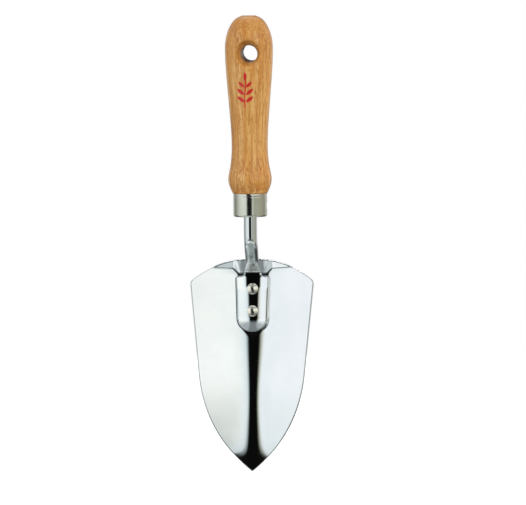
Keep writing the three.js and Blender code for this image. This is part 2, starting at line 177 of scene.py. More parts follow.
def mesh_object(name, points, faces, sharp_angle=35):
    """A smooth-shaded mesh from points in millimetres, with edges sharper than the angle kept crisp."""
    mesh = bpy.data.meshes.new(name)
    mesh.from_pydata((np.asarray(points) * MM).tolist(), [], [tuple(int(i) for i in f) for f in faces])
    mesh.validate()
    mesh.update()
    mesh.shade_smooth()
    mesh.set_sharp_from_angle(angle=math.radians(sharp_angle))
    made = bpy.data.objects.new(name, mesh)
    bpy.context.scene.collection.objects.link(made)
    return made


def skin(rings, close_start=True, close_end=True, looped=False):
    """Points and faces of a tube of rings, each an array of the same number of points."""
    rings = [np.asarray(r) for r in rings]
    n = len(rings[0])
    points = np.concatenate(rings)
    faces = []
    count = len(rings)
    for r in range(count if looped else count - 1):
        a, b = r * n, ((r + 1) % count) * n
        for i in range(n):
            j = (i + 1) % n
            faces.append((a + i, a + j, b + j, b + i))
    if not looped:
        if close_start:
            faces.append(tuple(range(n - 1, -1, -1)))
        if close_end:
            faces.append(tuple(range((count - 1) * n, count * n)))
    return points, faces


def turned_rings(profile, sides):
    """Rings about Z for (radius, height) points."""
    angle = np.linspace(0, 2 * math.pi, sides, endpoint=False)
    around = np.stack([np.cos(angle), np.sin(angle)], -1)
    return [np.column_stack([r * around, np.full(sides, z)]) for r, z in profile]


def cut(target, cutters):
    """Cuts the cutters out of the target with one boolean each."""
    for cutter in cutters:
        step = target.modifiers.new("cut", "BOOLEAN")
        step.operation = "DIFFERENCE"
        step.solver = "MANIFOLD"
        step.object = cutter
    bpy.context.view_layer.update()
    evaluated = target.evaluated_get(bpy.context.evaluated_depsgraph_get())
    mesh = bpy.data.meshes.new_from_object(evaluated)
    target.modifiers.clear()
    old = target.data
    target.data = mesh
    bpy.data.meshes.remove(old)
    for cutter in cutters:
        bpy.data.objects.remove(cutter)
    target.data.shade_smooth()
    target.data.set_sharp_from_angle(angle=math.radians(35))
    return target


def catmull(points, count):
    """A smooth open curve through the points, evenly spaced along its length."""
    p = np.asarray(points, float)
    p = np.vstack([2 * p[0] - p[1], p, 2 * p[-1] - p[-2]])
    pieces = []
    for i in range(1, len(p) - 2):
        a, b, c, d = p[i - 1 : i + 3]
        t = np.linspace(0, 1, 24, endpoint=False)[:, None]
        pieces.append(
            0.5 * (2 * b + (c - a) * t + (2 * a - 5 * b + 4 * c - d) * t**2 + (3 * b - a - 3 * c + d) * t**3)
        )
    dense = np.vstack(pieces + [p[-2:-1]])
    return resampled(dense, count)


def resampled(dense, count):
    """The same open line with a number of evenly spaced points."""
    gone = np.concatenate([[0], np.cumsum(np.linalg.norm(np.diff(dense, axis=0), axis=1))])
    at = np.linspace(0, gone[-1], count)
    return np.column_stack([np.interp(at, gone, dense[:, k]) for k in range(dense.shape[1])])


# ------------------------------------------------------------------ blade


def blade_outline(inset):
    """The right half of the blade's outline, moved in by the inset: the side from the point up to the middle
    of the round shoulder, and the top from there to the middle of the heel."""
    sin_t, cos_t = math.sin(TAPER), math.cos(TAPER)
    low, high = Z_TIP, SHOULDER_Z
    for _ in range(50):
        middle = (low + high) / 2
        cx = BLADE_HALF - (SHOULDER_Z - middle) * math.tan(TAPER) - OGIVE_RADIUS * cos_t
        cz = middle + OGIVE_RADIUS * sin_t
        if math.hypot(cx, cz - (Z_TIP - POINT_CUT)) > OGIVE_RADIUS:
            high = middle
        else:
            low = middle

    def round_point(r):
        return cz - math.sqrt((OGIVE_RADIUS - r) ** 2 - cx**2)

    small, large = 0.2, 8.0
    for _ in range(50):
        point_radius = (small + large) / 2
        if round_point(point_radius) - point_radius > Z_TIP:
            large = point_radius
        else:
            small = point_radius
    point_z = round_point(point_radius)

    # The shoulder's arc touches the straight side and the heel's arc from inside.
    heel_z = HEEL_Z - HEEL_RADIUS
    normal = np.array([cos_t, -sin_t])
    along = np.array([sin_t, cos_t])
    start = np.array([BLADE_HALF, SHOULDER_Z]) - normal * SHOULDER_ROUND - np.array([0, heel_z])
    b = float(start @ along)
    c = float(start @ start) - (HEEL_RADIUS - SHOULDER_ROUND) ** 2
    shoulder = start + along * (-b + math.sqrt(b * b - c)) + np.array([0, heel_z])
    heel_angle = math.atan2(shoulder[1] - heel_z, shoulder[0])

    def arc(centre_x, centre_z, radius, a, b, count):
        angle = np.linspace(a, b, count)
        return np.column_stack([centre_x + radius * np.cos(angle), centre_z + radius * np.sin(angle)])

    tangent = math.atan2(point_z - cz, -cx)
    mid = (heel_angle - TAPER) / 2
    side = np.vstack(
        [
            arc(0, point_z, point_radius - inset, -math.pi / 2, tangent, 30)[:-1],
            arc(cx, cz, OGIVE_RADIUS - inset, tangent, -TAPER, 400),
            arc(*shoulder, SHOULDER_ROUND - inset, -TAPER, mid, 20),
        ]
    )
    top = np.vstack(
        [
            arc(*shoulder, SHOULDER_ROUND - inset, mid, heel_angle, 20)[:-1],
            arc(0, heel_z, HEEL_RADIUS - inset, heel_angle, math.pi / 2, 300),
        ]
    )
    return side, top, point_radius - inset, point_z


def blade_grid(inset, columns, rows_low, rows_high):
    """Rows of (x, z) points that fill the outline: rounded like the point below and like the heel above."""
    side, top, point_radius, point_z = blade_outline(inset)
    gone = np.concatenate([[0], np.cumsum(np.linalg.norm(np.diff(side, axis=0), axis=1))])
    start = point_radius * 0.9
    low = np.linspace(start, gone[-1] - 22, rows_low, endpoint=False)
    high = np.linspace(gone[-1] - 22, gone[-1], rows_high)
    at = np.concatenate([low, high])
    edge_x = np.interp(at, gone, side[:, 0])
    edge_z = np.interp(at, gone, side[:, 1])
    order = np.argsort(top[:, 0])
    s = np.linspace(-1, 1, columns)
    grid = []
    first = edge_x[0]
    for i, (xe, ze) in enumerate(zip(edge_x, edge_z)):
        x = s * xe
        share = i / (len(at) - 1)
        near_point = max(0.0, 1 - (at[i] - start) / 8) ** 2
        near_heel = float(smooth(0.0, 1.0, share)) ** 2
        tip_arc = -np.sqrt(point_radius**2 - (s * first) ** 2) + math.sqrt(point_radius**2 - first**2)
        heel = np.interp(np.abs(x), top[order, 0], top[order, 1])
        heel_arc = heel - np.interp(xe, top[order, 0], top[order, 1])
        grid.append(np.column_stack([x, ze + near_point * tip_arc + near_heel * heel_arc]))
    return np.array(grid)


def rim_of(rows, columns):
    """Indices round the edge of a grid, counter-clockwise seen from the front."""
    bottom = [(0, c) for c in range(columns)]
    right = [(r, columns - 1) for r in range(1, rows)]
    top = [(rows - 1, c) for c in range(columns - 2, -1, -1)]
    left = [(r, 0) for r in range(rows - 2, 0, -1)]
    return [r * columns + c for r, c in bottom + right + top + left]


def thick_sheet(name, grid, face, near, far, rounding):
    """A sheet over a grid of (x, z) points between two distances from a face, with rounded edges."""
    rows, columns, _ = grid.shape
    flat = grid.reshape(-1, 2)
    count = len(flat)
    front = lifted(face, flat[:, 0], flat[:, 1], near)
    back = lifted(face, flat[:, 0], flat[:, 1], far)
    rim = rim_of(rows, columns)
    loop = flat[rim]
    tangent = np.roll(loop, -1, 0) - np.roll(loop, 1, 0)
    tangent /= np.linalg.norm(tangent, axis=1)[:, None]
    outward = np.column_stack([tangent[:, 1], -tangent[:, 0]])
    points = [front, back]
    faces = []
    for r in range(rows - 1):
        for c in range(columns - 1):
            a = r * columns + c
            faces.append((a, a + 1, a + columns + 1, a + columns))
            faces.append((count + a, count + a + columns, count + a + columns + 1, count + a + 1))
    stations = []
    for a in np.linspace(0, math.pi / 2, 5)[1:]:
        stations.append((rounding * math.sin(a), near + rounding * (1 - math.cos(a))))
    for a in np.linspace(math.pi / 2, 0, 5)[:-1]:
        stations.append((rounding * math.sin(a), far - rounding * (1 - math.cos(a))))
    previous = rim
    base = 2 * count
    for out, depth in stations:
        spot = loop + outward * out
        points.append(lifted(face, spot[:, 0], spot[:, 1], depth))
        ring = [base + i for i in range(len(rim))]
        base += len(rim)
        for i in range(len(rim)):
            j = (i + 1) % len(rim)
            faces.append((previous[i], ring[i], ring[j], previous[j]))
        previous = ring
    last = [count + i for i in rim]
    for i in range(len(rim)):
        j = (i + 1) % len(rim)
        faces.append((previous[i], last[i], last[j], previous[j]))
    return mesh_object(name, np.concatenate(points), faces, 50)


def seat_matrix():
    """The rivets' frame: its origin on the blade's face at the upper rivet, Z out of the hollow face."""
    turn = Matrix.Rotation(math.pi / 2 - LEAN, 4, "X")
    return Matrix.Translation(Vector((0, SEAT_Y - SEAT_RISE, SEAT_Z)) * MM) @ turn


def rivet_cutters(radius):
    cutters = []
    for i in range(2):
        rings = turned_rings([(radius, -10), (radius, 10)], 64)
        cutter = mesh_object(f"cutter_{i}", *skin(rings))
        cutter.matrix_world = seat_matrix() @ Matrix.Translation((0, -i * RIVET_SPACING * MM, 0))
        cutters.append(cutter)
    return cutters


def build_blade():
    grid = blade_grid(EDGE_ROUND, 165, 118, 74)
    blade = thick_sheet("blade_pressed", grid, blade_face, 0, SHEET, EDGE_ROUND)
    blade = cut(blade, rivet_cutters(2.6))
    mark_cut_edge(blade.data)
    return blade


def mark_cut_edge(mesh):
    """Gives the faces round the sheet's sheared edge the second material."""
    count = len(mesh.polygons)
    normals, centres = np.zeros(count * 3), np.zeros(count * 3)
    mesh.polygons.foreach_get("normal", normals)
    mesh.polygons.foreach_get("center", centres)
    normals, centres = normals.reshape(-1, 3), centres.reshape(-1, 3) / MM
    x, z = centres[:, 0], centres[:, 2]
    e = 0.05
    dx = (blade_face(x + e, z) - blade_face(x - e, z)) / (2 * e)
    dz = (blade_face(x, z + e) - blade_face(x, z - e)) / (2 * e)
    across = np.abs(normals[:, 1] - normals[:, 0] * dx - normals[:, 2] * dz) / np.sqrt(1 + dx * dx + dz * dz)
    mesh.polygons.foreach_set("material_index", (across < 0.92).astype(np.int32))


# ------------------------------------------------------------------ shank


PAD_HALF = 11.1
PAD_END = 10.3  # half its width where the round end starts
PAD_FLOOR = 1.25  # thickness under the rivets' heads
PAD_RIM = 1.5  # how far the rim stands above that floor
FRONT_BEND = -151.2  # where the neck's line and the crank's line cross in front
BACK_BEND = -149.5  # and behind
CRANK_SLOPE = 0.99


def joined(a, b, width, pick):
    """The greater (pick 1) or the lesser (pick -1) of two heights, rounded where they cross."""
    near = np.maximum(width - np.abs(a - b), 0)
    return np.maximum(pick * a, pick * b) * pick + pick * near * near / (4 * width)


def shank_front(z):
    """The front of the neck and the crank, down to the paddle's floor."""
    crank = -SHANK_RADIUS + CRANK_SLOPE * (FRONT_BEND - z)
    floor = valley(z) - SEAT_RISE - (GAP + PAD_FLOOR) / math.cos(LEAN)
    return joined(joined(-SHANK_RADIUS, crank, 2.3, 1), floor, 1.2, -1)


def shank_back(z):
    """The back of the neck and the crank, which bears on the blade's lip and lies on its seat."""
    crank = SHANK_RADIUS + 0.9 * (BACK_BEND - z)
    rest = blade_face(0.0, min(z, HEEL_Z)) - GAP / math.cos(LEAN)
    return joined(joined(SHANK_RADIUS, crank, 3.7, 1), rest, 1.2, -1)


def paddle_rise(x, z):
    """How far the paddle's front stands above its floor: a spoon's hollow inside a rounded rim."""
    end_z = PADDLE_BOTTOM + PAD_END
    side = PAD_HALF + (PAD_END - PAD_HALF) * (PADDLE_TOP - z) / (PADDLE_TOP - end_z) - np.abs(x)
    inside = np.where(z < end_z, PAD_END - np.hypot(x, end_z - z), side)
    inward = np.maximum(inside - 0.25, 0.01)
    reach = 7.9 - 1.8 * smooth(PADDLE_TOP - 10, PADDLE_TOP - 7, z)
    sunk = (inward**-6.0 + reach**-6.0) ** (-1 / 6)
    deepest = (10.85**-6.0 + reach**-6.0) ** (-1 / 6)
    scoop = 1 + 0.45 * smooth(0, 0.8, (end_z - z) / PAD_END)
    rise = PAD_RIM * scoop * (1 - sunk / deepest) - 0.09 * np.clip(1 - inside / 0.5, 0, 1) ** 2
    return rise * smooth(-PADDLE_TOP - 1.2, -PADDLE_TOP + 1.5, -z)


def oval(half_width, half_height, power, count):
    """A superellipse, evenly spaced along its length, starting at +X."""
    a = np.linspace(0, 2 * math.pi, 1601)
    c, s = np.cos(a), np.sin(a)
    x = half_width * np.sign(c) * np.abs(c) ** (2 / power)
    y = half_height * np.sign(s) * np.abs(s) ** (2 / power)
    return resampled(np.column_stack([x, y]), count + 1)[:-1]


def shank_stations():
    """(height, half width, squareness, thinning) down the shank from the tang; the thinning rounds an end."""
    tang = [(-62.0, 0.4, 2, 1), (-62.3, 1.0, 2, 1), (-65, 2.2, 2, 1), (-92, 3.1, 2, 1)]
    tang += [(-104, 3.4, 2, 1), (-112.8, SHANK_RADIUS, 2, 1)]
    neck = []
    heights = [np.arange(-114, -148, -1.0), np.arange(-148, -170, -0.5), np.arange(-170, -173.1, -0.15)]
    for z in np.concatenate(heights):
        bent = float(smooth(149, 156, -z) * smooth(-166, -157.5, z))
        flat = float(smooth(166, 173.2, -z))
        neck.append((z, SHANK_RADIUS + 1.1 * flat, 2.1 + 1.3 * bent + 1.5 * flat, 1))
    shoulders = []
    fillet, corner = 1.6, 1.5
    for a in np.linspace(0, math.pi / 2, 9):
        width = 5.5 + fillet * (1 - math.cos(a))
        shoulders.append((PADDLE_TOP + fillet * (1 - math.sin(a)), width, 3.6 + 2.2 * a, 1))
    for w in np.linspace(5.5 + fillet, PAD_HALF - corner, 6)[1:-1]:
        shoulders.append((PADDLE_TOP - 0.02 * (w - 5), w, 9.0, 1))
    for a in np.linspace(0, math.pi / 2, 10):
        width = PAD_HALF - corner * (1 - math.sin(a))
        shoulders.append((PADDLE_TOP - 0.12 - corner * (1 - math.cos(a)), width, 12.0, 1))
    end_z = PADDLE_BOTTOM + PAD_END
    sides = []
    for z in np.linspace(PADDLE_TOP - 2.0, end_z, 70):
        share = (PADDLE_TOP - z) / (PADDLE_TOP - end_z)
        sides.append((z, PAD_HALF + (PAD_END - PAD_HALF) * share, 14.0, 1))
    end = []
    for a in np.linspace(0, 1, 60)[1:]:
        angle = math.pi / 2 * (1 - (1 - a) ** 1.3)
        z = end_z - PAD_END * math.sin(angle)
        left = max(z - PADDLE_BOTTOM, 0)
        rounding = 0.5
        thin = math.sqrt(max(1 - max(1 - left / rounding, 0) ** 2, 0))
        end.append((z, max(PAD_END * math.cos(angle), 0.25), 14.0, max(thin, 0.08)))
    return tang + neck + shoulders + sides + end


def build_shank():
    rings = []
    for z, half_width, power, thin in shank_stations():
        round_bar = z > -113
        back = half_width if round_bar else float(shank_back(z))
        front = -half_width if round_bar else float(shank_front(z))
        # On the paddle the front stands up to the rim's height, and is then hollowed from there.
        on_paddle = float(smooth(-PADDLE_TOP - 1.2, -PADDLE_TOP + 1.5, -z))
        front -= PAD_RIM * on_paddle
        middle, half = (front + back) / 2, (back - front) / 2 * thin
        shape = oval(half_width, half, power, 192)
        x = shape[:, 0]
        y = middle + shape[:, 1]
        sunk = PAD_RIM * on_paddle - paddle_rise(x, np.full_like(x, z))
        facing = np.clip((middle - y) / max(half, 1e-6), 0, 1)
        y = y + sunk * smooth(0.2, 0.75, facing)
        # The crank is a little lumpy from the hammer.
        lumps = np.sin(3.1 * x + 1.3 * z) * np.sin(4.3 * z - 1.9 * x + 1) + np.sin(6.1 * x - 0.7) * np.sin(2.3 * z)
        y = y + 0.04 * float(smooth(157, 163, -z) * smooth(-173.5, -171, z)) * lumps * smooth(0.2, 0.75, facing)
        rings.append(np.column_stack([x, y, np.full_like(x, z)]))
    points, faces = skin(rings[::-1])
    shank = mesh_object("shank_forged", points, faces, 60)
    return cut(shank, rivet_cutters(2.55))


# ------------------------------------------------------------------ ferrule


def dimple(points, ball=4.5, depth=1.0):
    """Pushes points inwards round the punched dimple on the +X side."""
    out = points.copy()
    away = np.hypot(points[:, 1], points[:, 2] - DIMPLE_Z)
    push = depth - away**2 / (2 * ball)
    push = np.where(points[:, 0] > 4, 0.5 * (push + np.sqrt(push**2 + 0.02)), 0)
    out[:, 0] -= np.where(away < 6, push, 0)
    return out


def build_ferrule():
    inner = FERRULE_RADIUS - FERRULE_WALL
    hole = SHANK_RADIUS + 0.15
    corner = [
        (FERRULE_RADIUS - 1.4 * (1 - math.cos(a)), FERRULE_BOTTOM + 1.4 * (1 - math.sin(a)))
        for a in np.linspace(math.pi / 2, 0, 10)
    ]
    wall = [(FERRULE_RADIUS, z) for z in np.linspace(FERRULE_BOTTOM + 1.5, FERRULE_TOP - 2.7, 44)]
    # A shallow groove runs round the top, below a thin rolled band.
    groove = [(FERRULE_RADIUS - 0.07 * math.exp(-((z / 0.22) ** 2)), FERRULE_TOP - 2.1 + z) for z in np.linspace(-0.5, 0.5, 9)]
    rim = [
        (FERRULE_RADIUS, FERRULE_TOP - 1.4),
        (FERRULE_RADIUS, FERRULE_TOP - 0.35),
        (FERRULE_RADIUS - 0.1, FERRULE_TOP - 0.1),
        (FERRULE_RADIUS - 0.35, FERRULE_TOP),
    ]
    inside = [(inner, z) for z in np.linspace(FERRULE_TOP, FERRULE_BOTTOM + 1.8, 44)]
    profile = [(hole, FERRULE_BOTTOM + 1), (hole, FERRULE_BOTTOM + 0.15), (hole + 0.15, FERRULE_BOTTOM)]
    profile += corner + wall + groove + rim + inside + [(inner - 0.8, FERRULE_BOTTOM + 1)]
    points, faces = skin(turned_rings(profile, 224), looped=True)
    return mesh_object("ferrule_cup", dimple(points), faces, 40)


# ------------------------------------------------------------------ handle

GRIP = [
    (4.4, 0),
    (8.1, -1.7),
    (11.1, -4.6),
    (13.9, -9.9),
    (15.6, -16.4),
    (16.0, -24.5),
    (15.3, -39),
    (13.6, -60),
    (12.3, -78),
    (12.1, -90),
    (13.0, -100),
    (14.3, -106.5),
    (14.5, -110),
    (13.6, -114),
    (11.75, -118.3),
]


def countersunk(points):
    """Sinks both mouths of the hanging hole into the handle, with softly rounded rims."""
    out = points.copy()
    across = points[:, 0] - 0.3 * HOLE_ACROSS
    away = np.hypot(across, points[:, 2] - HOLE_Z)
    cone = 8.6 + (away - HOLE_RADIUS) / math.tan(math.radians(25))
    depth = np.abs(points[:, 1])
    soft = 0.9
    low = np.minimum(depth, cone) - soft * np.exp(-np.abs(depth - cone) / soft) * 0.35
    sunk = np.where(away < 14, np.maximum(low, 6.0), depth)
    out[:, 1] = np.sign(points[:, 1]) * sunk
    return out


def build_handle():
    tenon = FERRULE_RADIUS - FERRULE_WALL - 0.15
    tenon_end = FERRULE_BOTTOM + 1.15
    shoulder = FERRULE_TOP + 0.1
    grip = catmull(GRIP, 420)
    butt = [(r, 0.0) for r in np.linspace(0.6, GRIP[0][0], 8)[:-1]]
    # The butt's flat runs into the dome over a small round.
    lower = [(11.35, shoulder + 0.02), (11.0, shoulder), (tenon + 0.05, shoulder)]
    sleeve = [(tenon, z) for z in np.linspace(shoulder, tenon_end + 1, 32)]
    end = [(tenon - 1, tenon_end), (tenon / 2, tenon_end), (0.6, tenon_end)]
    profile = butt + [tuple(p) for p in grip] + lower + sleeve + end
    points, faces = skin(turned_rings(profile, 288)[::-1])
    grip_part = (points[:, 2] > HOLE_Z - 14) & (points[:, 2] < HOLE_Z + 14)
    points[grip_part] = countersunk(points[grip_part])
    tenon_part = points[:, 2] < shoulder - 0.2
    points[tenon_part] = dimple(points[tenon_part])
    handle = mesh_object("handle_turned", points, faces, 40)

    bore = mesh_object("bore", *skin(turned_rings([(HOLE_RADIUS, -30), (HOLE_RADIUS, 30)], 128)))
    # The bore was drilled from the front a little askew: it runs up and to the right on its way back.
    askew = Matrix.Rotation(math.radians(-4.5), 4, "Z") @ Matrix.Rotation(math.radians(90 + 5.5), 4, "X")
    bore.matrix_world = Matrix.Translation(Vector((HOLE_ACROSS + 0.4, 0, HOLE_Z + 0.4)) * MM) @ askew
    taper = [(0.6, -61.8), (1.35, -61.9), (2.35, -64.9), (3.25, -91.9), (3.55, -103.9), (4.55, -112.7), (4.55, -140)]
    tang = mesh_object("tang_bore", *skin(turned_rings(taper, 64)[::-1]))
    return cut(handle, [bore, tang])


# ------------------------------------------------------------------ rivets


def build_rivet(name, along, seed):
    """A rivet with a low domed head in front and a flatter formed head behind."""
    head_seat = GAP + PAD_FLOOR + 0.12
    tail_seat = -SHEET - 0.05
    radius, height = 3.75, 1.0
    dome = (radius**2 + height**2) / (2 * height)
    rim = math.asin(radius / dome)
    profile = [(0.1, tail_seat - 1.15), (2.4, tail_seat - 1.12), (3.0, tail_seat - 0.98), (3.35, tail_seat - 0.7)]
    profile += [(3.5, tail_seat - 0.35), (3.5, tail_seat - 0.05), (3.45, tail_seat), (2.4, tail_seat)]
    profile += [(2.4, z) for z in np.linspace(tail_seat, head_seat, 5)[1:]]
    profile += [(radius - 0.12, head_seat), (radius, head_seat + 0.06)]
    for a in np.linspace(rim, 0, 22)[:-1]:
        profile.append((dome * math.sin(a) * 0.999, head_seat + 0.12 + height - dome * (1 - math.cos(a))))
    rings = turned_rings(profile, 96)
    points, faces = skin(rings)
    rng = np.random.default_rng(seed)
    tilt = rng.normal(0, 0.012, 2)
    points[:, 2] += (points[:, 0] * tilt[0] + points[:, 1] * tilt[1]) * (points[:, 2] > head_seat - 0.01)
    rivet = mesh_object(name, points, faces, 45)
    place = seat_matrix() @ Matrix.Translation((0, along * MM, 0))
    rivet.data.transform(place)
    return rivet


# ------------------------------------------------------------------ node materials


class Nodes:
    """Short hands for building one node tree."""

    def __init__(self, tree):
        self.tree = tree

    def add(self, kind, **settings):
        node = self.tree.nodes.new(kind)
        for key, value in settings.items():
            setattr(node, key, value)
        return node

    def feed(self, socket, value):
        if isinstance(value, bpy.types.NodeSocket):
            self.tree.links.new(value, socket)
        else:
            socket.default_value = value

    def math(self, operation, *values, clamp=False):
        node = self.add("ShaderNodeMath", operation=operation, use_clamp=clamp)
        for socket, value in zip(node.inputs, values):
            self.feed(socket, value)
        return node.outputs[0]

    def vector(self, operation, *values):
        node = self.add("ShaderNodeVectorMath", operation=operation)
        for socket, value in zip(node.inputs, values):
            self.feed(socket, value)
        return node.outputs["Value" if operation in ("LENGTH", "DOT_PRODUCT") else "Vector"]

    def scaled(self, source, scale, offset=(0, 0, 0)):
        return self.vector("MULTIPLY_ADD", source, scale, offset)

    def noise(self, source, scale=1.0, detail=3.0, roughness=0.5, distortion=0.0):
        node = self.add("ShaderNodeTexNoise")
        for name, value in (("Vector", source), ("Scale", scale), ("Detail", detail)):
            self.feed(node.inputs[name], value)
        self.feed(node.inputs["Roughness"], roughness)
        self.feed(node.inputs["Distortion"], distortion)
        return node.outputs["Fac"]

    def ramp(self, source, low, high, out_low=0.0, out_high=1.0):
        node = self.add("ShaderNodeMapRange", interpolation_type="SMOOTHSTEP")
        for name, value in (("Value", source), ("From Min", low), ("From Max", high)):
            self.feed(node.inputs[name], value)
        self.feed(node.inputs["To Min"], out_low)
        self.feed(node.inputs["To Max"], out_high)
        return node.outputs[0]

    def colours(self, source, stops):
        node = self.add("ShaderNodeValToRGB")
        elements = node.color_ramp.elements
        while len(elements) < len(stops):
            elements.new(0.5)
        for element, (position, colour) in zip(elements, stops):
            element.position = position
            element.color = (*colour, 1)
        self.feed(node.inputs[0], source)
        return node.outputs[0]

    def mix(self, share, a, b, blend="MIX"):
        node = self.add("ShaderNodeMix", data_type="RGBA", blend_type=blend)
        self.feed(node.inputs[0], share)
        self.feed(node.inputs[6], a if isinstance(a, bpy.types.NodeSocket) else (*a, 1))
        self.feed(node.inputs[7], b if isinstance(b, bpy.types.NodeSocket) else (*b, 1))
        return node.outputs[2]

    def bump(self, height, distance, strength=1.0, normal=None):
        node = self.add("ShaderNodeBump")
        self.feed(node.inputs["Height"], height)
        node.inputs["Distance"].default_value = distance
        node.inputs["Strength"].default_value = strength
        if normal is not None:
            self.feed(node.inputs["Normal"], normal)
        return node.outputs[0]


def material(name):
    made = bpy.data.materials.new(name)
    made.use_nodes = True
    nodes = Nodes(made.node_tree)
    shader = made.node_tree.nodes["Principled BSDF"]
    place = nodes.add("ShaderNodeTexCoord").outputs["Object"]
    return made, nodes, shader, nodes.scaled(place, (1000, 1000, 1000))


def sprig(nodes, place):
    """A generic printed sprig on the front of the handle: 1 on the ink, 0 off it."""
    parts = nodes.add("ShaderNodeSeparateXYZ")
    nodes.feed(parts.inputs[0], place)
    across = nodes.math("ADD", parts.outputs[0], 1.6)
    up = nodes.math("ADD", parts.outputs[2], 50.0)
    beside = nodes.math("ABSOLUTE", across)
    wander = nodes.math("MULTIPLY", nodes.math("SINE", nodes.math("MULTIPLY", up, 0.22)), 0.35)
    stem = nodes.ramp(nodes.math("ABSOLUTE", nodes.math("SUBTRACT", across, wander)), 0.34, 0.5, 1, 0)
    stem = nodes.math("MULTIPLY", stem, nodes.ramp(nodes.math("ABSOLUTE", nodes.math("ADD", up, 1.5)), 10.0, 10.2, 1, 0))
    ink = stem
    for centre, height, angle, length, width in (
        (2.9, -5.6, 38, 3.3, 1.25),
        (3.0, -0.6, 40, 3.3, 1.3),
        (2.6, 4.2, 44, 2.9, 1.15),
        (0.0, 9.6, 90, 2.9, 1.2),
    ):
        a = math.radians(angle)
        dx = nodes.math("SUBTRACT", beside, centre)
        dz = nodes.math("SUBTRACT", up, height)
        long = nodes.math(
            "ADD", nodes.math("MULTIPLY", dx, math.cos(a) / length), nodes.math("MULTIPLY", dz, math.sin(a) / length)
        )
        wide = nodes.math(
            "SUBTRACT", nodes.math("MULTIPLY", dz, math.cos(a) / width), nodes.math("MULTIPLY", dx, math.sin(a) / width)
        )
        squeeze = nodes.math("ADD", nodes.math("ABSOLUTE", wide), nodes.math("MULTIPLY", long, long))
        leaf = nodes.ramp(squeeze, 0.9, 1.06, 1, 0)
        ink = nodes.math("MAXIMUM", ink, leaf)
    front = nodes.ramp(parts.outputs[1], -4.0, -3.0, 1, 0)
    worn = nodes.ramp(nodes.noise(nodes.scaled(place, (1.1, 1.1, 0.5)), 1.0, 4, 0.7), 0.27, 0.34)
    return nodes.math("MULTIPLY", nodes.math("MULTIPLY", ink, front), worn)


